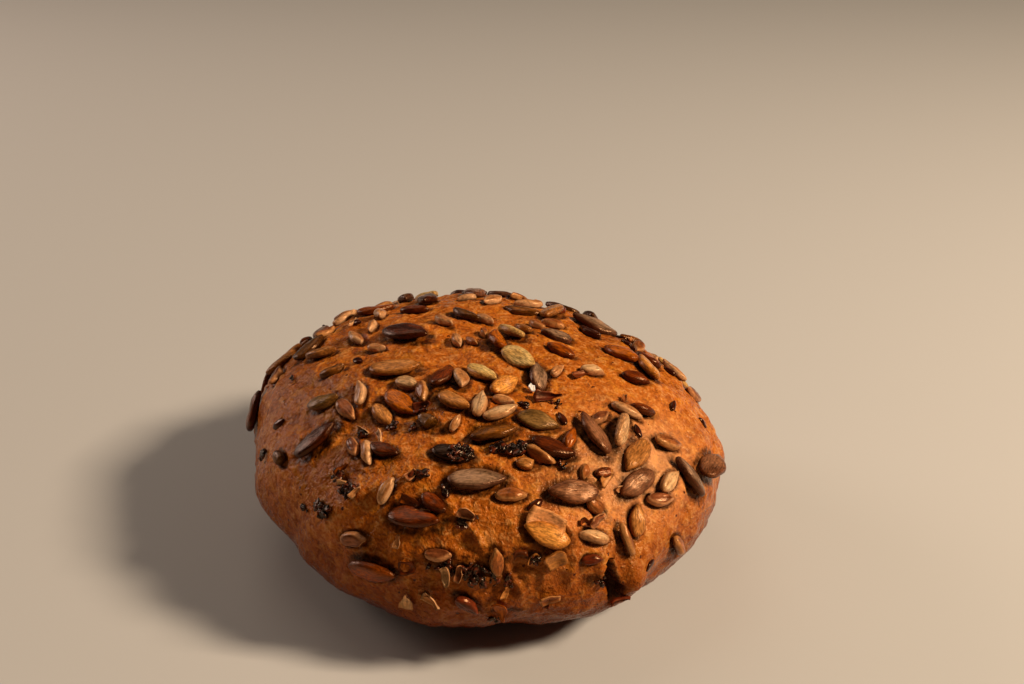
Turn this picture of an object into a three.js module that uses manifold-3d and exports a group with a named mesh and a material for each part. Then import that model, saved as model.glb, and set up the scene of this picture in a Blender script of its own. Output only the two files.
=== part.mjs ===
// A round wholemeal bread roll, baked with pumpkin seeds and sunflower kernels on its crust.
// Units are millimetres, +Z is up, and the origin is the middle of the flat underside.
import * as THREE from "three";
import { mergeVertices } from "three/addons/utils/BufferGeometryUtils.js";
import Module from "manifold-3d";

const wasm = await Module();
wasm.setup();

const DEGREE = Math.PI / 180;

// The loaf: a squat dome on a rounded undercut, slightly oval and a little three-cornered in plan.
const RADIUS = 56;
const HEIGHT = 50;
const WIDEST = 20.7;
const OVAL = { share: 0.068, bearing: -60.5 };
const CORNERS = { share: 0.018, bearing: 0 };
const SQUARE = { share: 0.009, bearing: 0 };
const DOME_POWER = 0.93;
const UNDERCUT_POWER = 0.8;
const UNDERCUT_DROP = 1.15;
const LEAN = { x: -0.025, y: -0.015 };

// Proving and baking leave broad swells in the crust: height, wavelength and turn of each wave.
const SWELLS = [
  { height: 0.7, length: 41, turn: 20 },
  { height: 0.5, length: 29, turn: 105 },
  { height: 0.4, length: 19, turn: 65 },
];

// Two places where the skin tore as it rose: a narrow, deep tuck, which leans a little and has a
// raised lip to its right, and a wide sunken patch.
const TUCK = { bearing: -61.5, rise: -4.5, lean: 8, across: 3, along: 13, depth: 4 };
const LIP = { bearing: -56.5, rise: -4.5, across: 2.8, along: 8, height: 2.2 };
const SUNKEN = { bearing: -82, rise: 9, across: 9, along: 8, depth: 1.3 };

// Skin triangles are finest on top, where the seeds are, and coarse below.
const SKIN_DETAIL = 10;
const SKIN_UPWARD_BIAS = 0.3;

// Each kind of seed, as shares of its length: greatest width, how much its tip narrows, and how
// far its middle stands above the skin as a share of its thickness.
const KINDS = {
  pumpkin: { width: 0.52, thickness: 2.3, taper: 0.4, lift: 0.3 },
  sunflower: { width: 0.48, thickness: 2.2, taper: 0.58, lift: 0.3 },
};

// A seed's tip is drawn out by a share of half its length, and a seed on its edge is raised by a
// share of its width.
const TIP = { share: 0.1, power: 8 };
const EDGE_LIFT = 0.25;

// A seed's facets. Its two rings of corners lie a third of the way round from pole to pole.
const SEED_SIDES = 7;
const SEED_RINGS = 3;
const SEED_RING_RADIUS = Math.sin(Math.PI / SEED_RINGS);
const TUCK_SIDES = 10;
const TUCK_RINGS = 6;

// Seeds on the near side and the crown, where they fell. Each row is bearing round the loaf
// (0 is +X, anticlockwise), rise above the widest line (90 is the crown), heading of the long
// axis (0 runs round the loaf, 90 runs up it), length, and roll onto its edge where it has one.
const LAID_PUMPKIN = [
  [-83, 53, 10, 9.6, -25],
  [-95.5, 46, -6, 9, -10],
  [-89, 38, 0, 11.6, -25],
  [-98, 63, -25, 8.2, -10],
  [-105, 55, -25, 6.6, 10],
  [-67.5, 55, -32, 8.8, 22],
  [-67, 46, -35, 9.4, -25],
  [-75, 42, -20, 5],
  [-66.5, 31.5, 165, 10.4, 10],
  [-98.5, 30, -25, 6.4, -30],
  [-116, 42.5, 5, 6.8, -15],
  [-141, 34.5, 72, 10.8, -15],
  [-151.5, 45.5, 50, 8, -15],
  [-125.5, 52.5, -25, 7.4, -35],
  [-121.5, 58.5, -12, 9.2, -18],
  [-149, 21.5, -10, 5.2, 15],
  [-52.5, 46, 80, 11, 20],
  [-44.5, 43.5, 32, 10, 60],
  [-29.5, 44.5, -50, 6.4, -25],
  [-45.5, 35, -162, 9.4, 15],
  [-49.5, 27, -172, 9.4, 10],
  [-57, 34, -12, 4.6],
  [-34, 18.5, 95, 10, 15],
  [-24.5, 15, -7, 11.4, -42],
  [-74.5, 19.5, 152, 9.6, 15],
  [-85.3, 11, 90, 5.8, 15],
  [-62, 24, -57, 5.6],
  [-102.5, 24.5, 4, 10.8, -35],
  [-111.5, 1.5, 5, 10.6, 20],
  [-53.5, 14.5, 64, 6.8, -12],
  [-143, 67, 50, 11, -6],
  [-165.5, 53, 82, 6],
  [171, 74.5, 55, 12.4, -10],
  [172.5, 49, 77, 8, -15],
  [133, 52, 137, 9],
  [116, 46.5, 70, 8, 15],
  [-109.5, 71, 106, 10.2, -16],
  [-84, 74, -53, 9, -10],
  [-73.5, 68.5, 25, 8, 35],
  [-48, 77, -85, 9.6, 22],
  [-50, 69, 58, 8.4, 35],
  [18.5, 79, 7, 6, 20],
  [-38, 84.5, 50, 8, 40],
  [102, 79.5, 131, 7.8],
  [127, 66.5, 123, 7.2, -6],
  [62, 65, 8, 9.2],
  [48, 61, 115, 11, 14],
  [7, 71.5, 78, 7.4],
  [-15.5, 71, 80, 6.6, -15],
  [26, 56, 8, 6.8],
  [1.5, 54.5, 37, 9.2, -6],
  [-15, 51, -80, 6.4, 6],
  [-4.5, 48, 20, 9.6, 12],
  [5, 82.5, 18, 9.6, 35],
  [-126, 65, 10, 6.4],
  [8, 42.5, 54, 6.4, 6],
];
const LAID_SUNFLOWER = [
  [-87, 62.5, 80, 7.2, -15],
  [-79.5, 59.5, 17, 7.6, -25],
  [-114.5, 64.5, -48, 6.2, 30],
  [-71, 44.5, -45, 6.6, 55],
  [-81, 33, -2, 6.2, -8],
  [-126, 39.5, -25, 6],
  [-120.5, 40, -43, 6.2, 40],
  [-139.5, 48.5, -10, 6.8, -15],
  [-140.5, 55, 143, 7, -40],
  [-110.5, 31, 77, 5.8, -14],
  [-45.5, 49.5, 0, 5.2],
  [-35.5, 47.5, -75, 7, -25],
  [-32.5, 32, -38, 8.2, -25],
  [-41.5, 22.5, 16, 7, 10],
  [-46, 18.5, -19, 6.6, -35],
  [-62, 36.5, 51, 3.8, 20],
  [-64.5, 14.8, 155, 6.8, 50],
  [-66, 7.2, -6, 4.6],
  [-97, 12, 5, 5.6, -60],
  [-91.5, -4, -42, 6, 20],
  [-116.5, 10.6, 18, 6.8, 10],
  [-57.5, 10, 100, 7, 50],
  [-42, -2.4, -60, 6.8, -50],
  [-177.5, 66, 52, 5],
  [165, 59.5, 26, 7.4, -50],
  [170, 29, 165, 6.4],
  [-97.5, 71.5, -71, 8, -30],
  [140, 82, 79, 5.4, -10],
  [81, 79.3, 156, 5.2],
  [30, 73, 12, 4.6, 12],
  [30, 68, 40, 5.6],
  [-38.5, 68, 3, 4.2, 16],
  [-24.5, 62, -63, 5.4],
  [140, 60.5, 42, 6.6, -30],
  [95.5, 64.5, 9, 4.4, 20],
  [-96, 56, 74, 4, 11],
  [-77, 63.5, -27, 4.6, 13],
  [-61, 47.3, 48, 5.6, 35],
  [-157, 86, -11, 4.6, 10],
  [155, 63.5, 0, 4.6, 14],
  [33, 88, 153, 4],
  [-100, 87.5, -34, 4, 20],
];

// The far side carries seeds of the same mix, strewn by rule: thick on the shoulder, thin below.
const STREWN = { pumpkin: 26, sunflower: 26 };
const STREWN_LENGTH = { pumpkin: [8.4, 12.4], sunflower: [6, 8.2] };
const STREWN_RISE = [4, 66];
const STREWN_BEARING = [4, 176];
const STREWN_GAP = 0.44;
const LEAST_ODDS = 0.25;
const LOOSE_ROLL = 5;
const LOOSE_PITCH = 4;
const MOST_TRIES = 4000;

// A repeatable draw from 0 to 1.
const DRAW_FACTOR = 16807;
const DRAW_RANGE = 2147483647;
let drawn = 2027;
const draw = () => {
  drawn = (drawn * DRAW_FACTOR) % DRAW_RANGE;
  return drawn / DRAW_RANGE;
};
const between = ([low, high]) => low + (high - low) * draw();

// Height of the broad swells at a point.
function swell(p) {
  return SWELLS.reduce((sum, { height, length, turn }) => {
    const a = turn * DEGREE;
    const along = (p.x * Math.cos(a) + p.y * Math.sin(a)) / length;
    const across = (p.y * Math.cos(a) - p.x * Math.sin(a) + p.z) / length;
    return sum + height * Math.sin(2 * Math.PI * along) * Math.cos(2 * Math.PI * across);
  }, 0);
}

// Millimetres round and up the loaf from a feature's centre.
function offset(feature, bearing, rise) {
  const turn = THREE.MathUtils.euclideanModulo(bearing - feature.bearing + 180, 360) - 180;
  return { round: turn * DEGREE * RADIUS, up: (rise - feature.rise) * DEGREE * RADIUS };
}

// How far the torn skin stands up at the lip, less how far it has sunk in the patch.
function torn(bearing, rise) {
  const bell = (x) => Math.exp(-x * x);
  const near = (feature) => {
    const { round, up } = offset(feature, bearing, rise);
    return bell(round / feature.across) * bell(up / feature.along);
  };
  return LIP.height * near(LIP) - SUNKEN.depth * near(SUNKEN);
}

// The crust's point at a bearing and a rise, both in degrees.
function crust(bearing, rise) {
  const b = bearing * DEGREE;
  const r = rise * DEGREE;
  const wave = (count, part) => part.share * Math.cos(count * (b - part.bearing * DEGREE));
  const plan = RADIUS * (1 + wave(2, OVAL) + wave(3, CORNERS) + wave(4, SQUARE));
  const power = r > 0 ? DOME_POWER : UNDERCUT_POWER;
  const reach = plan * Math.max(Math.cos(r), 0) ** power;
  const up = Math.abs(Math.sin(r)) ** power;
  const z = r > 0 ? WIDEST + (HEIGHT - WIDEST) * up : WIDEST * (1 - UNDERCUT_DROP * up);
  const p = new THREE.Vector3(reach * Math.cos(b) + LEAN.x * z, reach * Math.sin(b) + LEAN.y * z, z);
  const outward = p.clone().sub(new THREE.Vector3(0, 0, WIDEST)).normalize();
  p.addScaledVector(outward, swell(p) + torn(bearing, rise));
  p.z = Math.max(p.z, 0);
  return p;
}

// The skin's point, its outward normal, and the way round the loaf there.
function footing(bearing, rise) {
  const step = 0.5;
  const round = crust(bearing + step, rise).sub(crust(bearing - step, rise)).normalize();
  const up = crust(bearing, rise + step).sub(crust(bearing, rise - step));
  const normal = round.clone().cross(up).normalize();
  return { point: crust(bearing, rise), normal, round };
}

// A closed mesh as a manifold solid, with the vertices that its faces share merged.
function solid(geometry) {
  const bare = geometry.clone();
  bare.deleteAttribute("normal");
  bare.deleteAttribute("uv");
  const merged = mergeVertices(bare, 1e-4);
  return new wasm.Manifold(
    new wasm.Mesh({
      numProp: 3,
      vertProperties: merged.attributes.position.array,
      triVerts: new Uint32Array(merged.index.array),
    }),
  );
}

// The loaf itself: a ball of even triangles, each vertex moved out to the crust.
function loaf() {
  const ball = new THREE.IcosahedronGeometry(1, SKIN_DETAIL);
  const at = ball.attributes.position;
  for (let i = 0; i < at.count; i++) {
    const v = new THREE.Vector3().fromBufferAttribute(at, i);
    v.z += SKIN_UPWARD_BIAS;
    v.normalize();
    const p = crust(Math.atan2(v.y, v.x) / DEGREE, Math.asin(v.z) / DEGREE);
    at.setXYZ(i, p.x, p.y, p.z);
  }
  return ball;
}

// A seed lying flat at the origin: long axis on X with the tip at +X, thin axis on Z.
function seed(kind, length) {
  const { width, thickness, taper } = KINDS[kind];
  const shape = new THREE.SphereGeometry(1, SEED_SIDES, SEED_RINGS, Math.PI).rotateX(Math.PI / 2);
  const at = shape.attributes.position;
  for (let i = 0; i < at.count; i++) {
    const along = at.getX(i) / SEED_RING_RADIUS;
    const across = (at.getY(i) / SEED_RING_RADIUS) * (1 - taper * Math.max(along, 0) ** 2);
    const high = at.getZ(i);
    const reach = along + TIP.share * Math.max(along, 0) ** TIP.power;
    at.setXYZ(i, (reach * length) / 2, (across * length * width) / 2, (high * thickness) / 2);
  }
  return shape;
}

// Where a seed goes: on the skin at its bearing and rise, turned, rolled and tipped.
function placed(kind, [bearing, rise, heading, length, roll = 0]) {
  const { point, normal, round } = footing(bearing, rise);
  const side = normal.clone().cross(round);
  const lying = new THREE.Matrix4().makeBasis(round, side, normal);
  const turned = new THREE.Matrix4().makeRotationZ(heading * DEGREE);
  const tipped = new THREE.Matrix4().makeRotationY(LOOSE_PITCH * (2 * draw() - 1) * DEGREE);
  const rolled = new THREE.Matrix4().makeRotationX((roll + LOOSE_ROLL * (2 * draw() - 1)) * DEGREE);
  const { width, thickness, lift } = KINDS[kind];
  const onEdge = Math.abs(Math.sin(roll * DEGREE));
  const raised = lift * thickness * (1 - onEdge) + EDGE_LIFT * width * length * onEdge;
  const at = point.addScaledVector(normal, raised);
  const matrix = lying.multiply(turned).multiply(tipped).multiply(rolled).setPosition(at);
  return seed(kind, length).applyMatrix4(matrix);
}

// The tuck's cut: a lens on edge, sunk in the skin to half its height.
function tuck() {
  const { point, normal, round } = footing(TUCK.bearing, TUCK.rise);
  const lying = new THREE.Matrix4().makeBasis(round, normal.clone().cross(round), normal);
  const leaning = new THREE.Matrix4().makeRotationZ(TUCK.lean * DEGREE);
  const lens = new THREE.SphereGeometry(1, TUCK_SIDES, TUCK_RINGS).rotateX(Math.PI / 2);
  lens.scale(TUCK.across / 2, TUCK.along / 2, TUCK.depth);
  return solid(lens.applyMatrix4(lying.multiply(leaning).setPosition(point)));
}

// Seeds for the far side, drawn one at a time and kept where they don't crowd what lies there.
function strewn(taken) {
  const found = [];
  for (const kind of ["pumpkin", "sunflower"]) {
    for (let kept = 0, tries = 0; kept < STREWN[kind] && tries < MOST_TRIES; tries++) {
      const bearing = between(STREWN_BEARING);
      const lowest = Math.sin(STREWN_RISE[0] * DEGREE);
      const highest = Math.sin(STREWN_RISE[1] * DEGREE);
      const rise = Math.asin(between([lowest, highest])) / DEGREE;
      const heading = 180 * draw();
      const length = between(STREWN_LENGTH[kind]);
      const point = crust(bearing, rise);
      const crowded = taken.some((o) => o.point.distanceTo(point) < STREWN_GAP * (o.length + length));
      if (crowded || draw() > rise / STREWN_RISE[1] + LEAST_ODDS) continue;
      taken.push({ point, length });
      found.push([kind, [bearing, rise, heading, length]]);
      kept++;
    }
  }
  return found;
}

const laid = [
  ...LAID_PUMPKIN.map((row) => ["pumpkin", row]),
  ...LAID_SUNFLOWER.map((row) => ["sunflower", row]),
];
const taken = laid.map(([, [bearing, rise, , length]]) => ({ point: crust(bearing, rise), length }));
const seeds = [...laid, ...strewn(taken)].map(([kind, row]) => solid(placed(kind, row)));

// The seeds are baked into the crust, so loaf and seeds are one solid.
const body = wasm.Manifold.union([solid(loaf()), ...seeds]).subtract(tuck());
const made = body.getMesh();
const geometry = new THREE.BufferGeometry();
geometry.setAttribute("position", new THREE.BufferAttribute(new Float32Array(made.vertProperties), 3));
geometry.setIndex(new THREE.BufferAttribute(made.triVerts, 1));
geometry.computeVertexNormals();

const crustMaterial = new THREE.MeshStandardMaterial({ color: 0xa5612c, roughness: 0.5, metalness: 0 });
const roll = new THREE.Mesh(geometry, crustMaterial);
roll.name = "seeded_roll";

const group = new THREE.Group();
group.add(roll);
export default group;
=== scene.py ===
# A round wholemeal roll baked with pumpkin seeds and sunflower kernels, on a pale studio floor.
import math

import bmesh
import bpy
from mathutils import Matrix, Vector, noise
from mathutils.kdtree import KDTree


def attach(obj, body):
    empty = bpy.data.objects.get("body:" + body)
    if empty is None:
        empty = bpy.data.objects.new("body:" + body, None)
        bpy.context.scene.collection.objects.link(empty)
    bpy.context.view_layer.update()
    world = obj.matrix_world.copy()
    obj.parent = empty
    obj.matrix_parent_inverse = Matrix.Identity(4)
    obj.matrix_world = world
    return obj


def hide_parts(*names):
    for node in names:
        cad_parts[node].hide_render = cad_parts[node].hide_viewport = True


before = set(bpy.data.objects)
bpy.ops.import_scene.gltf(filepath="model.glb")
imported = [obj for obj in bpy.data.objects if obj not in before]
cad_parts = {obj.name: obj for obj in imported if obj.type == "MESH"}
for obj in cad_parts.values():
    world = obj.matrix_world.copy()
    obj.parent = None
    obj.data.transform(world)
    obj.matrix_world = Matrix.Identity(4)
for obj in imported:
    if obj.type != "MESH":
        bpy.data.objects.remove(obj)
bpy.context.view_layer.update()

# The loaf is one ball of wholemeal dough, proved round and baked on a flat tray. It is a squat
# dome on a rounded undercut, slightly oval and a little three-cornered, with broad swells, a
# raised lip low on the front right and a sunken patch low in front. Sizes are in millimetres.
MM = 0.001
RADIUS = 56
HEIGHT = 50
WIDEST = 20.7
OVAL = (2, 0.068, -60.5)
CORNERS = (3, 0.018, 0)
SQUARE = (4, 0.009, 0)
DOME_POWER = 0.93
UNDERCUT_POWER = 0.8
UNDERCUT_DROP = 1.15
LEAN_X = -0.025
LEAN_Y = -0.015
SWELLS = [(0.7, 41, 20), (0.5, 29, 105), (0.4, 19, 65)]
LIP = {"bearing": -56.5, "rise": -4.5, "across": 2.8, "along": 8, "height": 2.2}
SUNKEN = {"bearing": -82, "rise": 9, "across": 9, "along": 8, "height": -1.3}
PROBE = 0.5    # degrees to either side, to find how the skin slopes


def bell(x):
    """1 at nought, falling smoothly to 0 by about 2 on either side."""
    return math.exp(-x * x)


def swell(p):
    """Height of the broad swells at a point."""
    total = 0
    for height, length, turn in SWELLS:
        a = math.radians(turn)
        along = (p.x * math.cos(a) + p.y * math.sin(a)) / length
        across = (p.y * math.cos(a) - p.x * math.sin(a) + p.z) / length
        total += height * math.sin(math.tau * along) * math.cos(math.tau * across)
    return total


def offset(feature, bearing, rise):
    """Millimetres round and up the loaf from a feature's centre."""
    turn = (bearing - feature["bearing"] + 180) % 360 - 180
    return math.radians(turn) * RADIUS, math.radians(rise - feature["rise"]) * RADIUS


def near_to(feature, bearing, rise):
    """1 at a feature's centre, falling to 0 outside it."""
    away_round, away_up = offset(feature, bearing, rise)
    return bell(away_round / feature["across"]) * bell(away_up / feature["along"])


def crust(bearing, rise):
    """The smooth crust's point at a bearing round the loaf and a rise up it, both in degrees."""
    b, r = math.radians(bearing), math.radians(rise)
    waves = sum(share * math.cos(n * (b - math.radians(at))) for n, share, at in (OVAL, CORNERS, SQUARE))
    power = DOME_POWER if r > 0 else UNDERCUT_POWER
    reach = RADIUS * (1 + waves) * max(math.cos(r), 0) ** power
    up = abs(math.sin(r)) ** power
    z = WIDEST + (HEIGHT - WIDEST) * up if r > 0 else WIDEST * (1 - UNDERCUT_DROP * up)
    p = Vector((reach * math.cos(b) + LEAN_X * z, reach * math.sin(b) + LEAN_Y * z, z))
    outward = (p - Vector((0, 0, WIDEST))).normalized()
    p += outward * (swell(p) + sum(f["height"] * near_to(f, bearing, rise) for f in (LIP, SUNKEN)))
    p.z = max(p.z, 0)
    return p


def lying(bearing, rise, heading=0, lift=0, roll=0):
    """A frame on the skin, turned to a heading, lifted and rolled, with its Z outwards."""
    way_round = (crust(bearing + PROBE, rise) - crust(bearing - PROBE, rise)).normalized()
    way_up = crust(bearing, rise + PROBE) - crust(bearing, rise - PROBE)
    normal = way_round.cross(way_up).normalized()
    base = Matrix((way_round, normal.cross(way_round), normal)).transposed().to_4x4()
    base.translation = crust(bearing, rise) + normal * lift
    turned = Matrix.Rotation(math.radians(heading), 4, "Z") @ Matrix.Rotation(math.radians(roll), 4, "X")
    return base @ turned


# The seeds were pressed on the damp dough before it was baked, so each lies bedded in the skin.
# Each row is bearing, rise, heading (0 runs round the loaf, 90 up it), length, roll on to its
# edge, and tone. A tone with a share after it is a seed broken off at that share of its length.
LAID = {
    "pumpkin": [
        (-83, 53, 10, 9.6, -25, "olive"), (-95.5, 46, -6, 9, -10, "char"), (-89, 38, 0, 11.6, -25, "grey"),
        (-98, 63, -25, 8.2, -10, "tan"), (-105, 55, -25, 6.6, 10, "green", 0.6),
        (-67.5, 55, -32, 8.8, 22, "sage"), (-67, 46, -35, 9.4, -25, "dusk"), (-75, 42, -20, 5, 0, "tan", 0.7),
        (-66.5, 31.5, 165, 10.4, 10, "mauve"), (-98.5, 30, -25, 6.4, -30, "brown"),
        (-116, 42.5, 5, 6.8, -15, "dusk"), (-141, 34.5, 72, 10.8, -15, "dusk"),
        (-151.5, 45.5, 50, 8, -15, "sage"), (-125.5, 52.5, -25, 7.4, -35, "tan"),
        (-121.5, 58.5, -12, 9.2, -18, "amber"), (-149, 21.5, -10, 5.2, 15, "green", 0.7),
        (-52.5, 46, 80, 11, 20, "mauve"), (-44.5, 43.5, 32, 10, 60, "rose"),
        (-29.5, 44.5, -50, 6.4, -25, "brown"), (-45.5, 35, -162, 9.4, 15, "tan"),
        (-49.5, 27, -172, 9.4, 10, "mauve"), (-57, 34, -12, 4.6, 0, "brown", 0.8),
        (-34, 18.5, 95, 10, 15, "grey"), (-24.5, 15, -7, 11.4, -42, "mauve"),
        (-74.5, 19.5, 152, 9.6, 15, "gold"), (-85.3, 11, 90, 5.8, 15, "toast"),
        (-62, 24, -57, 5.6, 0, "toast", 0.75), (-102.5, 24.5, 4, 10.8, -35, "brown"),
        (-111.5, 1.5, 5, 10.6, 20, "orange"), (-53.5, 14.5, 64, 6.8, -12, "tan"),
        (-143, 67, 50, 11, -6, "tan"), (-165.5, 53, 82, 6, 0, "olive"), (171, 74.5, 55, 12.4, -10, "dusk"),
        (172.5, 49, 77, 8, -15, "tan"), (133, 52, 137, 9, 0, "orange"), (116, 46.5, 70, 8, 15, "grey"),
        (-109.5, 71, 106, 10.2, -16, "brown"), (-84, 74, -53, 9, -10, "pale"),
        (-73.5, 68.5, 25, 8, 35, "gold"), (-48, 77, -85, 9.6, 22, "pale"), (-50, 69, 58, 8.4, 35, "grey"),
        (18.5, 79, 7, 6, 20, "tan"), (-38, 84.5, 50, 8, 40, "amber"), (102, 79.5, 131, 7.8, 0, "green"),
        (127, 66.5, 123, 7.2, -6, "brown"), (62, 65, 8, 9.2, 0, "olive"), (48, 61, 115, 11, 14, "tan"),
        (7, 71.5, 78, 7.4, 0, "grey"), (-15.5, 71, 80, 6.6, -15, "orange"), (26, 56, 8, 6.8, 0, "dusk"),
        (1.5, 54.5, 37, 9.2, -6, "amber"), (-15, 51, -80, 6.4, 6, "brown"),
        (-4.5, 48, 20, 9.6, 12, "gold"), (5, 82.5, 18, 9.6, 35, "pale"), (-126, 65, 10, 6.4, 0, "rose"),
        (8, 42.5, 54, 6.4, 6, "brown"),
    ],
    "sunflower": [
        (-87, 62.5, 80, 7.2, -15, "rose"), (-79.5, 59.5, 17, 7.6, -25, "rose"),
        (-114.5, 64.5, -48, 6.2, 30, "toast"), (-71, 44.5, -45, 6.6, 55, "toast"),
        (-81, 33, -2, 6.2, -8, "toast"), (-126, 39.5, -25, 6, 0, "husk"),
        (-120.5, 40, -43, 6.2, 40, "cream"), (-139.5, 48.5, -10, 6.8, -15, "husk"),
        (-140.5, 55, 143, 7, -40, "cream"), (-110.5, 31, 77, 5.8, -14, "cream"),
        (-45.5, 49.5, 0, 5.2, 0, "husk"), (-35.5, 47.5, -75, 7, -25, "cream"),
        (-32.5, 32, -38, 8.2, -25, "toast"), (-41.5, 22.5, 16, 7, 10, "rose"),
        (-46, 18.5, -19, 6.6, -35, "husk"), (-62, 36.5, 51, 3.8, 20, "toast"),
        (-64.5, 14.8, 155, 6.8, 50, "rose"), (-66, 7.2, -6, 4.6, 0, "ember"),
        (-97, 12, 5, 5.6, -60, "husk"), (-91.5, -4, -42, 6, 20, "ember"),
        (-116.5, 10.6, 18, 6.8, 10, "husk"), (-57.5, 10, 100, 7, 50, "toast"),
        (-42, -2.4, -60, 6.8, -50, "toast"), (-177.5, 66, 52, 5, 0, "cream"),
        (165, 59.5, 26, 7.4, -50, "cream"), (170, 29, 165, 6.4, 0, "husk"),
        (-97.5, 71.5, -71, 8, -30, "cream"), (140, 82, 79, 5.4, -10, "cream"),
        (81, 79.3, 156, 5.2, 0, "cream"), (30, 73, 12, 4.6, 12, "toast"), (30, 68, 40, 5.6, 0, "toast"),
        (-38.5, 68, 3, 4.2, 16, "cream"), (-24.5, 62, -63, 5.4, 0, "rose"),
        (140, 60.5, 42, 6.6, -30, "cream"), (95.5, 64.5, 9, 4.4, 20, "cream"),
        (-96, 56, 74, 4, 11, "cream"), (-77, 63.5, -27, 4.6, 13, "cream"),
        (-61, 47.3, 48, 5.6, 35, "orange"), (-157, 86, -11, 4.6, 10, "cream"),
        (155, 63.5, 0, 4.6, 14, "cream"), (33, 88, 153, 4, 0, "toast"), (-100, 87.5, -34, 4, 20, "toast"),
    ],
}
# A width is a share of the length, and a lift above the skin is a share of the thickness.
KINDS = {
    "pumpkin": {"width": 0.52, "thickness": 2.3, "taper": 0.4, "lift": 0.3, "groove": 0},
    "sunflower": {"width": 0.48, "thickness": 2.2, "taper": 0.58, "lift": 0.3, "groove": 0.1},
}
# The far side's seeds: how many, how long, in which tones, and where.
STREWN = {"pumpkin": 26, "sunflower": 26}
STREWN_LENGTH = {"pumpkin": (8.4, 12.4), "sunflower": (6, 8.2)}
STREWN_TONES = {
    "pumpkin": ["olive", "orange", "mauve", "tan", "dusk", "pale", "grey", "green", "brown"],
    "sunflower": ["cream", "toast", "husk", "cream", "ember"],
}
STREWN_RISE = (4, 66)
STREWN_BEARING = (4, 176)
STREWN_GAP = 0.44
EDGE_LIFT = 0.25
LOOSE_ROLL = 5
LOOSE_PITCH = 4
STREWN_LOW = 0.25    # the chance that a seed holds at the very foot
MOST_TRIES = 4000
FIRST_DRAW = 2027
DRAW_STEP = 16807
DRAW_RANGE = 2147483647

noise.seed_set(FIRST_DRAW)
drawn = FIRST_DRAW


def draw():
    """A repeatable draw from 0 to 1."""
    global drawn
    drawn = (drawn * DRAW_STEP) % DRAW_RANGE
    return drawn / DRAW_RANGE


def between(low, high):
    """A repeatable draw between two values."""
    return low + (high - low) * draw()


def strewn(taken):
    """Seeds for the far side, drawn one at a time and kept where they don't crowd what lies there."""
    found = []
    lowest, highest = (math.sin(math.radians(rise)) for rise in STREWN_RISE)
    for kind, wanted in STREWN.items():
        kept = tries = 0
        while kept < wanted and tries < MOST_TRIES:
            tries += 1
            bearing = between(*STREWN_BEARING)
            rise = math.degrees(math.asin(between(lowest, highest)))
            heading = 180 * draw()
            length = between(*STREWN_LENGTH[kind])
            point = crust(bearing, rise)
            crowded = any((o - point).length < STREWN_GAP * (size + length) for o, size in taken)
            if crowded or draw() > rise / STREWN_RISE[1] + STREWN_LOW:
                continue
            tone = STREWN_TONES[kind][kept % len(STREWN_TONES[kind])]
            taken.append((point, length))
            found.append((kind, (bearing, rise, heading, length, 0, tone)))
            kept += 1
    return found


def bed(kind, row):
    """Where a seed lies: the skin's own frame under it, and the frame the seed is turned to."""
    bearing, rise, heading, length, roll, tone = row[:6]
    tipped = Matrix.Rotation(math.radians(LOOSE_PITCH * (2 * draw() - 1)), 4, "Y")
    rolled = Matrix.Rotation(math.radians(roll + LOOSE_ROLL * (2 * draw() - 1)), 4, "X")
    size = KINDS[kind]
    on_edge = abs(math.sin(math.radians(roll)))
    flat_lift = size["lift"] * size["thickness"]
    raised = flat_lift * (1 - on_edge) + EDGE_LIFT * size["width"] * length * on_edge
    return {
        "kind": kind, "length": length, "tone": tone, "cut": row[6] if len(row) > 6 else 1,
        "skin": lying(bearing, rise, heading),
        "frame": lying(bearing, rise, heading, raised) @ tipped @ rolled,
    }


scattered = [(kind, row) for kind, rows in LAID.items() for row in rows]
taken = [(crust(row[0], row[1]), row[3]) for _, row in scattered]
seeds = [bed(kind, row) for kind, row in scattered + strewn(taken)]

# The crust is the loaf's own skin, browned and thinly set, about as glossy as a waxed leaf. It
# swelled up round every seed, wrinkled finely, tore to open crumb in the sunken patch and split in
# a narrow tuck beside the lip.
SKIN_BIAS = 0.42
# Round a seed, 1 is its edge: the rim stands outside it and the bed lies under it.
RIM = {"height": 0.34, "at": 1.4, "wide": 0.3, "uneven": 2.3}
BED = {"depth": 0.3, "wide": 1.1, "margin": 3}
# Scorch round a seed's edge, partly burned juice and partly painted shade.
SCORCHED_AND_SHADED_RIM = {"share": 0.75, "wide": 0.4}
# Each lump is its height and its size. Wrinkles are narrow valleys between larger lumps.
LUMPS = [(0.45, 7.5), (0.36, 3.2), (0.16, 1.3)]
WRINKLE = {"deep": 0.16, "apart": 2.1, "upright": 0.45, "narrow": 0.16}
CRUMBLY = {"across": 12, "along": 10, "drop": 3, "high": 0.75, "coarse": 1.9, "hole": 0.35, "hole_size": 3.1}
TUCK = {"bearing": -61.5, "rise": -4.5, "lean": 8, "across": 3, "along": 13, "depth": 4, "reach": 8}
TUCK_EDGE = {"sway": 0.7, "turns": 0.55, "ragged": 0.5, "ragged_size": 1.7}
# The tuck's wall beside the lip is given painted shade.
TUCK_WALL_SHADE = {"at": 1, "across": 1.4, "along": 6}
FOOT_FADE = 2.5
# Folds are bearing, rise, heading, length, width and height.
FOLDS = [
    (-73.5, 25, -22, 9, 2.2, 0.9), (-81, 0.5, -70, 6, 1.3, 1.1), (-83, 8, -65, 5, 1.3, 1),
    (-89, 20.5, -55, 7, 1.4, 1.1), (-75, -4.5, 20, 4, 1.6, 0.8), (-70, 16, 60, 5, 1.6, 0.6),
    (-104, 6, 100, 3.5, 2.4, 0.6), (-64, 3, -75, 9, 2.0, 0.8), (-66, 21, 40, 5, 1.8, 0.6),
    (-88, 4, 30, 4, 1.4, 0.8), (-79, 17, 20, 5, 1.4, 0.8), (-70, 3, 75, 6, 2, 0.9),
    (-76, 4, 80, 5, 1.6, 0.8), (-93, 13, 10, 5, 1.5, 0.7),
]
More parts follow.
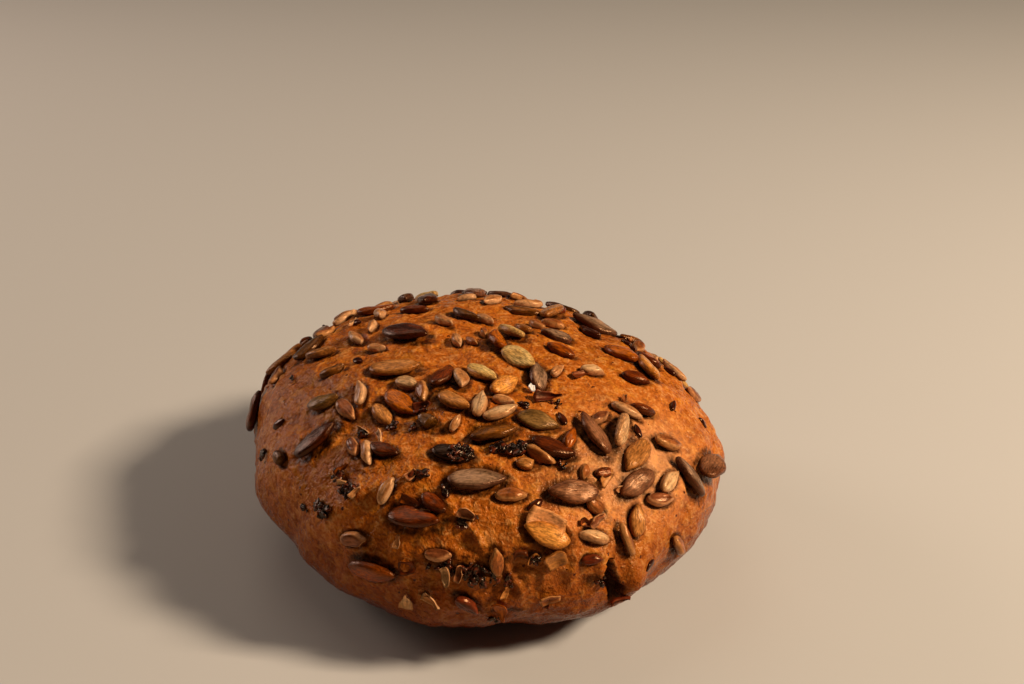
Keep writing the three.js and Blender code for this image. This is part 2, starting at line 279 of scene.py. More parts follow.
# A painted highlight: the skin is painted paler over the lit right shoulder.
LIT_SHOULDER_HIGHLIGHT = {"bearing": -46, "rise": 31, "across": 19, "along": 16}
# Scorch spots, dark patches that are partly juice and crumbs burned on and partly painted shade
# beside seeds and in hollows, are bearing, rise and how far they reach.
SCORCH_AND_SHADE_SPOTS = [
    {"bearing": bearing, "rise": rise, "across": across, "along": along}
    for bearing, rise, across, along in (
        (-93, 7.5, 7, 3.6), (-78, 12, 4, 2), (-122, 28.5, 3.5, 3), (-127, 16, 3, 3), (-78, 47, 4.5, 1.6),
        (-117, 49.5, 3, 1.6), (-110, 52, 2.5, 1.6), (-92, 25.5, 3, 1.6), (-65, 38.5, 3, 1.6),
        (-104, 21.5, 6, 1.4), (-84, -9, 4, 2), (-66, 0, 2, 2), (20, 40, 4, 2), (140, 30, 4, 3),
    )
]
fold_frames = [(lying(*fold[:3]).inverted(), *fold[3:]) for fold in FOLDS]
tuck_frame = lying(TUCK["bearing"], TUCK["rise"], TUCK["lean"]).inverted()


def relief(p, bearing, rise):
    """How far the skin stands proud, how open its crumb is, and how deep in the tuck it lies, as painted
    shade that also reaches the tuck's wall.
    """
    height = sum(high * noise.noise(p / size) for high, size in LUMPS)
    upright = Vector((p.x, p.y, WRINKLE["upright"] * p.z)) / WRINKLE["apart"]
    height -= WRINKLE["deep"] * max(0, 1 - abs(noise.noise(upright)) / WRINKLE["narrow"])
    for to_fold, length, width, fold_height in fold_frames:
        at = to_fold @ p
        bent = (2 * at.y + 0.5 * at.x * at.x / length) / width
        height += fold_height * bell(2 * at.x / length) * bell(bent)
    patch_round, patch_up = offset(SUNKEN, bearing, rise)
    open_crumb = bell(patch_round / CRUMBLY["across"]) * bell((patch_up + CRUMBLY["drop"]) / CRUMBLY["along"])
    crumb = CRUMBLY["high"] * noise.turbulence(p / CRUMBLY["coarse"], 3, False)
    crumb -= CRUMBLY["hole"] * max(0, noise.noise(p / CRUMBLY["hole_size"]))
    height += open_crumb * crumb
    in_tuck = tuck_frame @ p
    if abs(in_tuck.z) > TUCK["reach"]:
        return height, open_crumb, 0
    sway = TUCK_EDGE["sway"] * math.sin(TUCK_EDGE["turns"] * in_tuck.y)
    aside = in_tuck.x + sway + TUCK_EDGE["ragged"] * noise.noise(p / TUCK_EDGE["ragged_size"])
    inside = 1 - (2 * aside / TUCK["across"]) ** 2 - (2 * in_tuck.y / TUCK["along"]) ** 2
    split = math.sqrt(max(inside, 0))
    wall_shade = bell((aside - TUCK_WALL_SHADE["at"]) / TUCK_WALL_SHADE["across"]) * bell(in_tuck.y / TUCK_WALL_SHADE["along"])
    return height - TUCK["depth"] * split, open_crumb, max(min(2 * split, 1), wall_shade)


skin = bmesh.new()
bmesh.ops.create_icosphere(skin, subdivisions=5, radius=1)
bmesh.ops.subdivide_edges(skin, edges=skin.edges[:], cuts=5, use_grid_fill=True)
scorch_shade_layer = skin.verts.layers.float.new("scorch_and_shade")
torn_layer = skin.verts.layers.float.new("torn")
lit_shoulder_layer = skin.verts.layers.float.new("pale")
places = {}
for v in skin.verts:
    way = (v.co.normalized() + Vector((0, 0, SKIN_BIAS))).normalized()
    places[v.index] = math.degrees(math.atan2(way.y, way.x)), math.degrees(math.asin(way.z))
    v.co = crust(*places[v.index])
skin.normal_update()
skin.verts.ensure_lookup_table()
near = KDTree(len(skin.verts))
for v in skin.verts:
    near.insert(v.co, v.index)
near.balance()
stand = [0.0] * len(skin.verts)
for seed in seeds:
    half_length = seed["length"] / 2
    half_width = half_length * KINDS[seed["kind"]]["width"]
    to_seed = seed["skin"].inverted()
    for _, i, _ in near.find_range(seed["skin"].translation, half_length + BED["margin"]):
        v = skin.verts[i]
        at = to_seed @ v.co
        away = math.hypot(at.x / half_length, at.y / half_width)
        uneven = 0.6 + 0.6 * noise.noise(v.co / RIM["uneven"])
        stand[i] += RIM["height"] * uneven * bell((away - RIM["at"]) / RIM["wide"])
        stand[i] -= BED["depth"] * bell(away / BED["wide"])
        # Scorch round the seed's edge, partly burned juice and partly painted shade, and painted shade under
        # it.
        rim_scorch_and_shade = SCORCHED_AND_SHADED_RIM["share"] * bell((away - 1) / SCORCHED_AND_SHADED_RIM["wide"])
        v[scorch_shade_layer] = max(v[scorch_shade_layer], rim_scorch_and_shade, bell(away))
for v in skin.verts:
    height, v[torn_layer], tuck_shade = relief(v.co, *places[v.index])
    # Painted shade in and beside the tuck, and the scorch spots, partly burned and partly painted shade.
    scorch_and_shade_spots = [near_to(spot, *places[v.index]) for spot in SCORCH_AND_SHADE_SPOTS]
    v[scorch_shade_layer] = max(v[scorch_shade_layer], tuck_shade, *scorch_and_shade_spots)
    v[lit_shoulder_layer] = near_to(LIT_SHOULDER_HIGHLIGHT, *places[v.index])
    above_foot = min(v.co.z / FOOT_FADE, 1)
    v.co += v.normal * above_foot * (height + stand[v.index])
    v.co.z = max(v.co.z, 0)


def linear(colour):
    """An sRGB hex colour as the linear colour that a shader takes."""
    channels = [int(colour[i:i + 2], 16) / 255 for i in (1, 3, 5)]
    return [c / 12.92 if c <= 0.04045 else ((c + 0.055) / 1.055) ** 2.4 for c in channels] + [1]


def add(tree, kind, inputs=None, **settings):
    """Adds a shader node with its settings, and gives each input a value or a link."""
    made = tree.nodes.new("ShaderNode" + kind)
    for name, value in settings.items():
        setattr(made, name, value)
    for name, value in (inputs or {}).items():
        if isinstance(value, bpy.types.NodeSocket):
            tree.links.new(value, made.inputs[name])
        else:
            made.inputs[name].default_value = value
    return made


def tinted(tree, share, first, second):
    """The colour between two others, by a share from 0 to 1."""
    return add(tree, "Mix", {0: share, 6: first, 7: second}, data_type="RGBA").outputs[2]


def material(name):
    """A new material, its node tree and its shader."""
    made = bpy.data.materials.new(name)
    made.use_nodes = True
    return made, made.node_tree, made.node_tree.nodes["Principled BSDF"]


def set_up(name, mesh, finish):
    """A finished bmesh in millimetres as a smooth piece of the roll, in metres."""
    bmesh.ops.scale(mesh, vec=(MM, MM, MM), verts=mesh.verts)
    data = bpy.data.meshes.new(name)
    for face in mesh.faces:
        face.smooth = True
    mesh.to_mesh(data)
    mesh.free()
    data.materials.append(finish)
    piece = bpy.data.objects.new(name, data)
    bpy.context.scene.collection.objects.link(piece)
    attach(piece, "root")
    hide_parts("seeded_roll")


# Baked crust: wholemeal dough browned in the oven, satin, with darker toasting in broad clouds,
# bran specks, scorch close to the seeds that is partly burned and partly painted shade, painted
# shade in the grain's hollows, painted highlights on its crests and over the lit right shoulder,
# and painted shade darkening and reddening the foot.
# Each mottle is its colour, size in mm, the noise levels where it starts and is full, and share.
# The other sizes are in mm too, and the finest are drawn as coarse as they need to show.
CRUST_BROWN = "#bc5f16"
PORE = 0.6
CREASE = 1.9
OPEN_CRUMB = 1.6
SCORCH_AND_SHADE_EDGE = 1.3
BRAN = 1.7
BRAN_EDGE = 0.9
POLISH = 5
GRAIN_DEPTH = 0.5
# The heights in mm over which the foot is painted darker with painted shade.
FOOT_SHADE_TOP, FOOT_SHADE_BOTTOM = 30, 7
MOTTLES = [
    ("#954a0c", 17, 0.42, 0.7, 0.6),
    ("#da8222", 2.6, 0.5, 0.68, 0.55),
    ("#7a3006", 3.8, 0.53, 0.68, 0.6),
]
baked_crust, tree, shader = material("baked_crust")
place = add(tree, "TexCoord").outputs["Object"]
colour = add(tree, "RGB")
colour.outputs[0].default_value = linear(CRUST_BROWN)
colour = colour.outputs[0]
for tint, size, start, full, share in MOTTLES:
    cloud = add(tree, "TexNoise", {"Vector": place, "Scale": 1 / (size * MM), "Detail": 3})
    seen = add(tree, "MapRange", {"Value": cloud.outputs["Fac"], "From Min": start, "From Max": full,
                                  "To Max": share})
    colour = tinted(tree, seen.outputs[0], colour, linear(tint))
pores = add(tree, "TexNoise", {"Vector": place, "Scale": 1 / (PORE * MM), "Detail": 2})
creases = add(tree, "TexNoise", {"Vector": place, "Scale": 1 / (CREASE * MM), "Detail": 3, "Distortion": 0.8})
fine = add(tree, "Math", {0: pores.outputs["Fac"], 1: 0.6}, operation="MULTIPLY")
grain = add(tree, "Math", {0: fine.outputs[0], 1: creases.outputs["Fac"]}, operation="ADD").outputs[0]
# Painted shade: the grain's hollows are painted darker. Painted highlight: its crests are painted paler.
hollow_shade = add(tree, "MapRange", {"Value": grain, "From Min": 0.78, "From Max": 0.6, "To Max": 0.56})
colour = tinted(tree, hollow_shade.outputs[0], colour, linear("#5c1e03"))
crest_highlight = add(tree, "MapRange", {"Value": grain, "From Min": 0.82, "From Max": 1.02, "To Max": 0.5})
colour = tinted(tree, crest_highlight.outputs[0], colour, linear("#e99f54"))
# Painted highlight: a paler patch over the lit right shoulder, held in the pale attribute.
lit_shoulder = add(tree, "Attribute", attribute_name="pale").outputs["Fac"]
lit_shoulder_share = add(tree, "Math", {0: lit_shoulder, 1: 0.48}, operation="MULTIPLY").outputs[0]
colour = tinted(tree, lit_shoulder_share, colour, linear("#f0ae72"))
crumb_cloud = add(tree, "TexNoise", {"Vector": place, "Scale": 1 / (OPEN_CRUMB * MM), "Detail": 4})
crumb_colour = tinted(tree, crumb_cloud.outputs["Fac"], linear("#4a1806"), linear("#c07030"))
torn_here = add(tree, "Attribute", attribute_name="torn").outputs["Fac"]
torn_share = add(tree, "Math", {0: torn_here, 1: 0.6}, operation="MULTIPLY").outputs[0]
colour = tinted(tree, torn_share, colour, crumb_colour)
# Painted shade: the crust is painted darker and redder towards the foot.
low = add(tree, "SeparateXYZ", {"Vector": place}).outputs["Z"]
foot_shade_share = add(tree, "MapRange", {"Value": low, "From Min": FOOT_SHADE_TOP * MM, "From Max": FOOT_SHADE_BOTTOM * MM,
                                   "To Max": 0.92})
colour = tinted(tree, foot_shade_share.outputs[0], colour, linear("#581d03"))
# Dark scorch, partly burned juice and partly painted shade, under and round the seeds, in and beside the tuck
# and at the scorch spots.
scorch_and_shade = add(tree, "Attribute", attribute_name="scorch_and_shade").outputs["Fac"]
ragged = add(tree, "TexNoise", {"Vector": place, "Scale": 1 / (SCORCH_AND_SHADE_EDGE * MM), "Detail": 3})
uneven = add(tree, "Math", {0: scorch_and_shade, 1: ragged.outputs["Fac"]}, operation="ADD").outputs[0]
scorch_shade_share = add(tree, "MapRange", {"Value": uneven, "From Min": 0.75, "From Max": 1.3, "To Max": 0.9})
colour = tinted(tree, scorch_shade_share.outputs[0], colour, linear("#280b02"))
ragged = add(tree, "TexNoise", {"Vector": place, "Scale": 1 / (BRAN_EDGE * MM), "Detail": 2})
pushed = add(tree, "VectorMath", {0: ragged.outputs["Color"], "Scale": BRAN_EDGE * MM}, operation="SCALE")
bran_place = add(tree, "VectorMath", {0: place, 1: pushed.outputs[0]}, operation="ADD")
bran = add(tree, "TexVoronoi", {"Vector": bran_place.outputs[0], "Scale": 1 / (BRAN * MM)})
bran_pick = add(tree, "SeparateColor", {0: bran.outputs["Color"]}).outputs[0]
bran_size = add(tree, "MapRange", {"Value": bran_pick, "From Min": 0.78, "From Max": 1, "To Max": 0.24})
bran_here = add(tree, "Math", {0: bran_size.outputs[0], 1: bran.outputs["Distance"]},
                operation="GREATER_THAN")
colour = tinted(tree, bran_here.outputs[0], colour, linear("#4c1a03"))
tree.links.new(colour, shader.inputs["Base Color"])
polish = add(tree, "TexNoise", {"Vector": place, "Scale": 1 / (POLISH * MM), "Detail": 4})
rough = add(tree, "MapRange", {"Value": polish.outputs["Fac"], "From Min": 0.3, "From Max": 0.7,
                               "To Min": 0.15, "To Max": 0.3})
glazed = add(tree, "Math", {0: foot_shade_share.outputs[0], 1: 0.1}, operation="MULTIPLY")
rough = add(tree, "Math", {0: rough.outputs[0], 1: glazed.outputs[0]}, operation="SUBTRACT")
tree.links.new(rough.outputs[0], shader.inputs["Roughness"])
bump = add(tree, "Bump", {"Strength": 1, "Distance": GRAIN_DEPTH * MM, "Height": grain})
tree.links.new(bump.outputs[0], shader.inputs["Normal"])
shader.inputs["Specular Tint"].default_value = linear("#ffc68c")
shader.inputs["IOR"].default_value = 1.26
set_up("crust", skin, baked_crust)

# Hulled pumpkin seeds: flat ovals with one pointed end, dried and toasted, so their green skin
# turned olive, mauve, orange or black. Each tone is its light, its dark and its edge colour.
SEED_TONES = {
    "olive": ("#ae621a", "#603208", "#5a2b06"), "green": ("#844a0e", "#3e1f03", "#462004"),
    "sage": ("#a07038", "#624018", "#6c3e14"), "mauve": ("#a4663e", "#66381f", "#643014"),
    "rose": ("#eeb67a", "#c2874e", "#bc7a46"), "brown": ("#8e3808", "#4e1b03", "#481702"),
    "orange": ("#a84c08", "#762f02", "#6a2902"), "gold": ("#ea963e", "#c8722a", "#b8661e"),
    "tan": ("#da8a42", "#a46026", "#98541c"), "pale": ("#f8c878", "#d09848", "#cc9048"),
    "grey": ("#b0805a", "#6c4a2e", "#4c1e0a"), "dusk": ("#6c2a08", "#360f02", "#360f02"),
    "char": ("#280e04", "#100401", "#120401"), "cream": ("#d68e50", "#a45e2c", "#dea068"),
    "toast": ("#ae5e28", "#7a3a12", "#c27e42"), "husk": ("#9a522a", "#5e2a0f", "#d08850"),
    "ember": ("#6c220a", "#380c03", "#742c10"), "white": ("#fff2e2", "#f0d4b6", "#fff0e0"),
    "amber": ("#cc6610", "#a04a04", "#8a3a04"), "peach": ("#f6aa68", "#dc8848", "#d6823e"),
    "linseed": ("#4c1a08", "#240903", "#2c0e08"),
}
# A seed's underside is painted darker: partly scorch where it lies bedded, partly painted shade.
UNDERSIDE_SCORCH_AND_SHADE = 0.6
TIP = 0.1
SEED_CURL = (-0.25, 0.35)
GROOVE_WIDTH = 0.14


def seed_mesh():
    """An empty mesh with the layers that hold each seed's tone and the run of its grain."""
    mesh = bmesh.new()
    mesh.verts.layers.float_color.new("tone")
    mesh.verts.layers.float_vector.new("grain")
    return mesh


def toned_mesh(tone):
    """A mesh for one seed or chip, its two layers, its colours and its own place in the noise."""
    mesh = seed_mesh()
    layers = mesh.verts.layers
    colours = [Vector(linear(hex_colour)[:3]) for hex_colour in SEED_TONES[tone]]
    own = Vector((draw(), draw(), draw())) * 100
    return mesh, layers.float_color["tone"], layers.float_vector["grain"], colours, own


def lay(whole, part, frame_of):
    """Puts a small mesh in its place and adds it to a larger one."""
    bmesh.ops.transform(part, matrix=frame_of, verts=part.verts)
    data = bpy.data.meshes.new("part")
    part.to_mesh(data)
    part.free()
    whole.from_mesh(data)
    bpy.data.meshes.remove(data)


def tone_at(colours, own, at, out):
    """A seed's colour at a point: clouds of toasting, its own rim, and a darker underside, partly scorch
    where it lies bedded and partly painted shade.
    """
    light, dark, edge = colours
    patch = 0.5 + 0.9 * noise.noise(Vector((1.1 * at.x, 1.6 * at.y, at.z)) + own)
    shade = light.lerp(dark, min(max(patch, 0), 1)) * (1 + 0.12 * noise.noise(own))
    shade = shade.lerp(edge, min(max((out - 0.78) / 0.16, 0), 1) * 0.85)
    return *(shade * (1 - UNDERSIDE_SCORCH_AND_SHADE * min(max(-at.z / 0.3, 0), 1))), 1


def oval(whole, frame_of, length, width, thickness, taper, tone, cut=1, sides=28, rings=15,
         curl=0.0, groove=0.0, blunt=0.62):
    """Adds one seed to a mesh: an oval with its point at +X, dented, toned, cut off and placed."""
    mesh, tone_layer, grain_layer, colours, own = toned_mesh(tone)
    bmesh.ops.create_uvsphere(mesh, u_segments=sides, v_segments=rings, radius=1)
    for v in mesh.verts:
        x, y, z = v.co
        v[tone_layer] = tone_at(colours, own, v.co, math.hypot(x, y))
        narrowed = 1 - taper * max(x, 0) ** 2
        flat = math.copysign(abs(z) ** blunt, z) - math.copysign(groove, z) * bell(y / GROOVE_WIDTH)
        x += TIP * max(x, 0) ** 8
        v.co = Vector((x * length / 2, y * narrowed * length * width / 2, flat * thickness / 2))
        v.co += noise.noise_vector(v.co / 3.4 + own) * 0.3 + noise.noise_vector(v.co / 1.3 + own) * 0.08
        v.co.z += curl * (x * x - 0.3)
        v[grain_layer] = (v.co.x * MM + own.x, v.co.y * MM, v.co.z * MM)
    if cut < 1:
        sliced = bmesh.ops.bisect_plane(mesh, geom=mesh.verts[:] + mesh.edges[:] + mesh.faces[:],
                                        plane_co=((cut - 0.5) * length, 0, 0),
                                        plane_no=(1, 0.3 * between(-1, 1), 0.25), clear_outer=True)
        rim = [e for e in sliced["geom_cut"] if isinstance(e, bmesh.types.BMEdge)]
        bmesh.ops.edgeloop_fill(mesh, edges=rim)
    lay(whole, mesh, frame_of)


def seed_skin(name, streak, streak_share, roughness, bump_depth):
    """A dried seed's skin: its own tone, with fine lengthwise streaks a few tenths of a mm wide."""
    made, tree, shader = material(name)
    grain = add(tree, "Attribute", attribute_name="grain").outputs["Vector"]
    tone = add(tree, "Attribute", attribute_name="tone").outputs["Color"]
    run = add(tree, "Mapping", {"Vector": grain, "Scale": (0.22, 1, 1)}).outputs[0]
    streaks = add(tree, "TexNoise", {"Vector": run, "Scale": 1 / (streak * MM), "Detail": 3})
    freckles = add(tree, "TexNoise", {"Vector": grain, "Scale": 1 / (0.7 * MM), "Detail": 3})
    lines = add(tree, "MapRange", {"Value": streaks.outputs["Fac"], "From Min": 0.35, "From Max": 0.68,
                                   "To Min": 1 - streak_share, "To Max": 1 + 0.5 * streak_share})
    dots = add(tree, "MapRange", {"Value": freckles.outputs["Fac"], "From Min": 0.34, "From Max": 0.5,
                                  "To Min": 0.62, "To Max": 1})
    both = add(tree, "Math", {0: lines.outputs[0], 1: dots.outputs[0]}, operation="MULTIPLY")
    shade = add(tree, "VectorMath", {0: tone, "Scale": both.outputs[0]}, operation="SCALE")
    tree.links.new(shade.outputs[0], shader.inputs["Base Color"])
    shader.inputs["Roughness"].default_value = roughness
    shader.inputs["Specular Tint"].default_value = linear("#ffba7c")
    shader.inputs["IOR"].default_value = 1.46
    bump = add(tree, "Bump", {"Strength": 0.6, "Distance": bump_depth * MM, "Height": streaks.outputs["Fac"]})
    tree.links.new(bump.outputs[0], shader.inputs["Normal"])
    return made


finishes = {
    "pumpkin": seed_skin("toasted_pumpkin_seed", 0.3, 0.5, 0.25, 0.2),
    "sunflower": seed_skin("toasted_sunflower_kernel", 0.45, 0.25, 0.26, 0.16),
}
for kind, piece_name in (("pumpkin", "pumpkin_seeds"), ("sunflower", "sunflower_kernels")):
    mesh = seed_mesh()
    size = KINDS[kind]
    for seed in (s for s in seeds if s["kind"] == kind):
        oval(mesh, seed["frame"], seed["length"], size["width"], size["thickness"], size["taper"],
             seed["tone"], seed["cut"], curl=between(*SEED_CURL), groove=size["groove"])
    set_up(piece_name, mesh, finishes[kind])

# Linseed: a few small, flat, very glossy dark brown seeds among the larger ones.
LINSEED = [
    (-58, 54, 80, 3.6), (-76, 29.5, 25, 3.8), (-39, 41, 60, 3.4), (-17.5, 38, 10, 3.2),
    (-52.5, -1.7, 20, 3.8), (-163, 27, 60, 4), (-168.5, 60.5, 30, 3.6), (20, 46, 15, 3.4), (150, 40, 50, 3.6),
    (95, 52, 110, 3.4), (60, 30, 20, 3.6), (128, 22, 80, 3.4), (-10, 22, 100, 3.4), (17, 44.5, 40, 3.4),
    (7.5, 34.5, 60, 3.4), (31, 39, 30, 3.4), (149, 56.5, 60, 3.6),
]
linseed = seed_mesh()
for bearing, rise, heading, length in LINSEED:
    oval(linseed, lying(bearing, rise, heading, 0.35, 10), length, 0.52, 1.1, 0.3, "linseed",
         sides=16, rings=9, blunt=0.9)
set_up("linseeds", linseed, seed_skin("glossy_linseed", 0.3, 0.1, 0.16, 0.02))

# Charred crumbs: bits of seed and husk that burned black in the oven, in small clusters. Each
# row is bearing, rise, how many, how far they spread and how large they are in millimetres.
CLUSTERS = [
    (-81, 47.5, 7, 1.6, 2.2), (-76, 47.5, 8, 1.8, 2.3), (-103.5, 38, 6, 1.3, 1.8), (-96, 34.5, 5, 1.2, 1.5),
    (-118, 50.5, 8, 1.8, 1.5), (-127.5, 44.5, 5, 1.3, 1.6), (-47.5, 20, 3, 0.7, 1.6),
    (-110, 52, 5, 1.6, 1.3), (-125.5, 29, 9, 1.9, 1.7), (-121, 27, 9, 2, 1.6), (-127, 16.5, 12, 2.6, 1.9),
    (-90, 27, 4, 1.2, 1.8), (-92.5, 24, 4, 1.2, 1.5), (-64, -1, 5, 1.4, 1.6), (-90, 6.2, 30, 4.2, 1.3),
    (-134, 10, 5, 1.4, 1.3), (-160.5, 13.5, 6, 1.8, 1.8), (-66.5, 39.5, 4, 1.4, 1.4),
    (-67.5, 61, 4, 1.3, 1.4), (-84, 3, 10, 3.4, 1), (-96, 8, 10, 3, 1), (-77.5, 11, 6, 1.5, 1.6),
    (-110.5, 59, 4, 1, 1.3), (-56.5, 59, 4, 1.4, 1.3), (20, 40, 3, 1, 1.4), (-178, 39, 3, 1.2, 1.4),
    (140, 30, 5, 1.6, 1.4), (80, 44, 5, 1.6, 1.4), (-85, -15, 5, 2.5, 1.1), (-63, 14, 3, 1, 1.3),
]
SEED_CHAR = (-93.5, 45, 34, 2.5, 1.4)
CRUMB_LIFT = 0.45
SUNKEN_LIFT = 0.6
SEED_CHAR_LIFT = 2
PER_DEGREE = math.radians(1) * RADIUS


def crumbs(whole, bearing, rise, count, spread, size, lift):
    """A cluster of burned crumbs on the skin."""
    for _ in range(count):
        way, away = math.tau * draw(), spread * math.sqrt(draw())
        along = away * math.cos(way) / (PER_DEGREE * max(math.cos(math.radians(rise)), 0.2))
        up = away * math.sin(way) / PER_DEGREE
        at = lying(bearing + along, rise + up, 360 * draw(), lift, 360 * draw())
        own = Vector((draw(), draw(), draw())) * 50
        crumb = bmesh.new()
        bmesh.ops.create_icosphere(crumb, subdivisions=3, radius=1)
        for v in crumb.verts:
            v.co *= 1 + 0.7 * noise.noise(v.co * 1.4 + own)
            v.co = Vector((v.co.x, 0.7 * v.co.y, 0.5 * v.co.z)) * size * 0.5
        lay(whole, crumb, at @ Matrix.Scale(between(0.45, 1.5), 4))


charred = bmesh.new()
for row in CLUSTERS:
    crumbs(charred, *row, CRUMB_LIFT + SUNKEN_LIFT * near_to(SUNKEN, row[0], row[1]))
crumbs(charred, *SEED_CHAR, SEED_CHAR_LIFT)
charred_crumb, tree, shader = material("charred_crumb")
place = add(tree, "TexCoord").outputs["Object"]
cinder = add(tree, "TexNoise", {"Vector": place, "Scale": 1 / (1.4 * MM), "Detail": 2})
soot = add(tree, "MapRange", {"Value": cinder.outputs["Fac"], "From Min": 0.48, "From Max": 0.66})
black = tinted(tree, soot.outputs[0], linear("#160703"), linear("#6a2810"))
tree.links.new(black, shader.inputs["Base Color"])
shader.inputs["Roughness"].default_value = 0.26
shader.inputs["Specular Tint"].default_value = linear("#ffd2a4")
set_up("charred_crumbs", charred, charred_crumb)

# Chips of husk and bread skin: thin curled flakes, from pale straw to brown, stuck on the crust.
# Each row is bearing, rise, heading, length, width, how far it narrows, roll, lift and tone.
FLAKE_HALF = 0.16
FLAKE_CURL = (0.3, 0.6)
FLAKES = [
    (-74.4, 23.3, -28, 8.2, 5.4, 0.2, 12, 1.2, "peach"), (-73.5, 10.5, 20, 4.6, 4.2, 0.1, 14, 0.9, "tan"),
    (-84.5, -8.5, -80, 5, 3.8, 0.8, 25, 1, "amber"), (-104, -7, 85, 4, 3.6, 0.85, 14, 0.7, "rose"),
    (-95, 5, -75, 4, 2.4, 0.5, 10, 1.3, "rose"), (-92.5, 6.5, 80, 3.6, 1.8, 0.4, 0, 1.2, "husk"),
    (-98, -3.5, -35, 4.4, 2.4, 0.7, 10, 1.2, "cream"), (-99.5, -1.5, -10, 2.8, 1.6, 0.6, 0, 1, "toast"),
    (-105.5, 15.5, 78, 3.2, 1.6, 0.5, 10, 1, "cream"), (-103.5, 6, 10, 3.6, 3.2, 0.2, 0, 0.5, "brown"),
    (-78, 11.5, 60, 3, 2.2, 0.3, 30, 0.9, "tan"), (-54, 27.5, 0, 2.6, 1.4, 0.5, 20, 0.6, "cream"),
    (-60.5, 65.5, 50, 2.2, 1.8, 0.3, 20, 1.2, "white"), (-57, 61.3, -28, 6.4, 3.2, 0.85, 40, 1.1, "ember"),
    (-59.5, -12, 20, 4.6, 1.6, 0.6, 10, 0.4, "ember"), (-30.5, 63.5, -20, 5, 2, 0.5, 10, 0.5, "brown"),
    (-63, 19.8, 15, 4.4, 2.4, 0.5, 35, 1, "husk"), (-66, 20.5, -40, 2.8, 2, 0.5, 20, 0.8, "brown"),
    (-119.5, 46, -35, 4.4, 1.6, 0.6, 35, 0.7, "cream"), (-125, 32, 70, 3.6, 1.8, 0.6, 40, 0.8, "orange"),
    (-118, 27.5, 60, 3.2, 1.4, 0.6, 50, 1, "cream"), (-122.5, 28.5, 20, 2.4, 1.3, 0.6, 50, 1.2, "rose"),
    (-127.5, 45.5, 5, 3.6, 1.2, 0.5, 50, 0.7, "cream"), (-110.5, 59.5, 40, 4, 2.4, 0.5, 30, 0.8, "ember"),
    (-101, 26.5, 20, 4, 2.2, 0.5, 20, 0.5, "toast"), (-104, 29.5, -10, 4.6, 2.4, 0.4, 20, 0.5, "orange"),
    (-105, 37.5, 60, 2.8, 2, 0.5, 30, 1.1, "husk"), (-91, 27.5, -20, 3.8, 2.4, 0.3, 35, 1.6, "husk"),
    (-75, -4, 10, 4.4, 2.8, 0.3, 20, 1.3, "toast"), (-75.5, -6, 80, 2.8, 1.6, 0.5, 0, 0.6, "ember"),
    (-57, 32.5, 25, 4.6, 2.8, 0.6, 25, 0.8, "tan"), (-31.5, 50.5, 30, 2.6, 1.6, 0.5, 0, 0.5, "toast"),
    (-68, 32.5, 60, 3.2, 2.2, 0.6, 30, 1, "brown"),
    (-80.5, 14.5, 10, 3, 2, 0.4, 30, 0.8, "brown"), (-84, -0.5, 70, 2.6, 1.8, 0.4, 20, 1.1, "tan"),
    (70, 50, 30, 4, 2, 0.5, 10, 0.5, "toast"), (110, 35, 80, 4, 2, 0.5, 10, 0.5, "husk"),
    (150, 55, 10, 4, 2, 0.5, 10, 0.5, "cream"), (30, 36, 120, 3.6, 2, 0.5, 20, 0.5, "toast"),
]


def flake(whole, frame_of, length, width, narrowing, tone):
    """Adds a thin, curled flake to a mesh, narrowed towards +X by the given share."""
    mesh, tone_layer, grain_layer, colours, own = toned_mesh(tone)
    curl = between(*FLAKE_CURL)
    bmesh.ops.create_cube(mesh, size=2)
    bmesh.ops.subdivide_edges(mesh, edges=mesh.edges[:], cuts=7, use_grid_fill=True)
    for v in mesh.verts:
        x, y, z = v.co
        v[tone_layer] = tone_at(colours, own, Vector((x, y, 0)), max(abs(x), abs(y)))
        narrowed = (1 - narrowing * (x + 1) / 2) * (1 - 0.15 * x * x)
        v.co = Vector((x * (1 - 0.12 * y * y) * length / 2, y * narrowed * width / 2, z * FLAKE_HALF))
        v.co += noise.noise_vector(v.co / 1.4 + own) * 0.28
        v.co.z += curl * (x * x + y * y - 0.6)
        v[grain_layer] = (v.co.x * MM + own.x, v.co.y * MM, v.co.z * MM)
    lay(whole, mesh, frame_of)


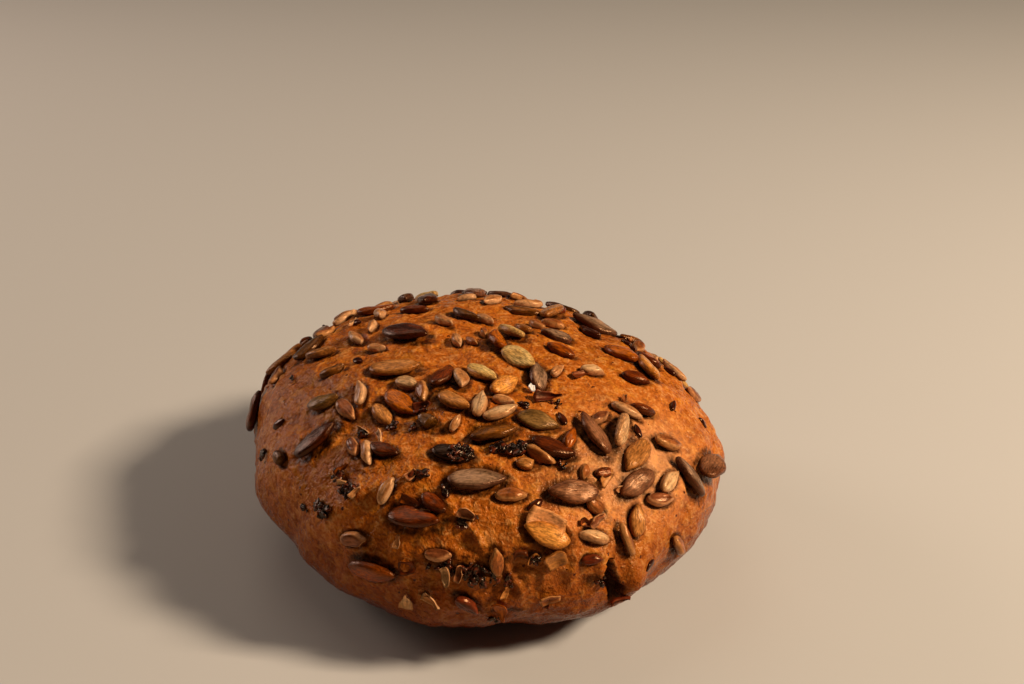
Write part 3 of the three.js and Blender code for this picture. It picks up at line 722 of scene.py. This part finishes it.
flakes = seed_mesh()
for bearing, rise, heading, length, width, narrowing, roll, lift, tone in FLAKES:
    flake(flakes, lying(bearing, rise, heading, lift, roll), length, width, narrowing, tone)
set_up("husk_flakes", flakes, seed_skin("dry_husk", 0.35, 0.3, 0.42, 0.15))

# The studio: a pale matt floor under a large key light from the right, weaker lights from the
# back left and from above, and a dim even room. The camera stands where the photograph was
# taken from.
CAMERA_PLACE = Vector((7.2, -296.4, 185.5)) * MM
CAMERA_PITCH = 24.8
LENS = 50
FLOOR_HALF = 3
floor_mesh = bmesh.new()
bmesh.ops.create_grid(floor_mesh, x_segments=4, y_segments=4, size=FLOOR_HALF)
floor_data = bpy.data.meshes.new("floor")
floor_mesh.to_mesh(floor_data)
floor_mesh.free()
floor = bpy.data.objects.new("floor", floor_data)
bpy.context.scene.collection.objects.link(floor)
matt_paper, tree, shader = material("matt_paper")
shader.inputs["Base Color"].default_value = linear("#c4b9aa")
shader.inputs["Roughness"].default_value = 0.9
floor_data.materials.append(matt_paper)

LIGHTS = [
    ("key", (0.75, -0.2, 0.63), 0.18, 13.0, "#fff0de"),
    ("rim", (-0.82, 0.42, 0.36), 0.4, 2.9, "#fff0ec"),
    ("top", (-0.25, 0.45, 0.85), 0.6, 1.2, "#fff8f0"),
]
for name, place, size, power, tint in LIGHTS:
    lamp = bpy.data.lights.new(name, "AREA")
    lamp.size = size
    lamp.energy = power
    lamp.color = linear(tint)[:3]
    light = bpy.data.objects.new(name, lamp)
    light.location = place
    light.rotation_euler = (-light.location).to_track_quat("-Z", "Y").to_euler()
    bpy.context.scene.collection.objects.link(light)
room = bpy.data.worlds.new("room")
room.use_nodes = True
room.node_tree.nodes["Background"].inputs["Color"].default_value = linear("#f2e9e0")
room.node_tree.nodes["Background"].inputs["Strength"].default_value = 0.04
bpy.context.scene.world = room
bpy.context.scene.view_settings.view_transform = "Standard"

camera = bpy.data.objects.new("camera", bpy.data.cameras.new("camera"))
camera.data.lens = LENS
camera.location = CAMERA_PLACE
camera.rotation_euler = (math.radians(90 - CAMERA_PITCH), 0, 0)
bpy.context.scene.collection.objects.link(camera)
bpy.context.scene.camera = camera
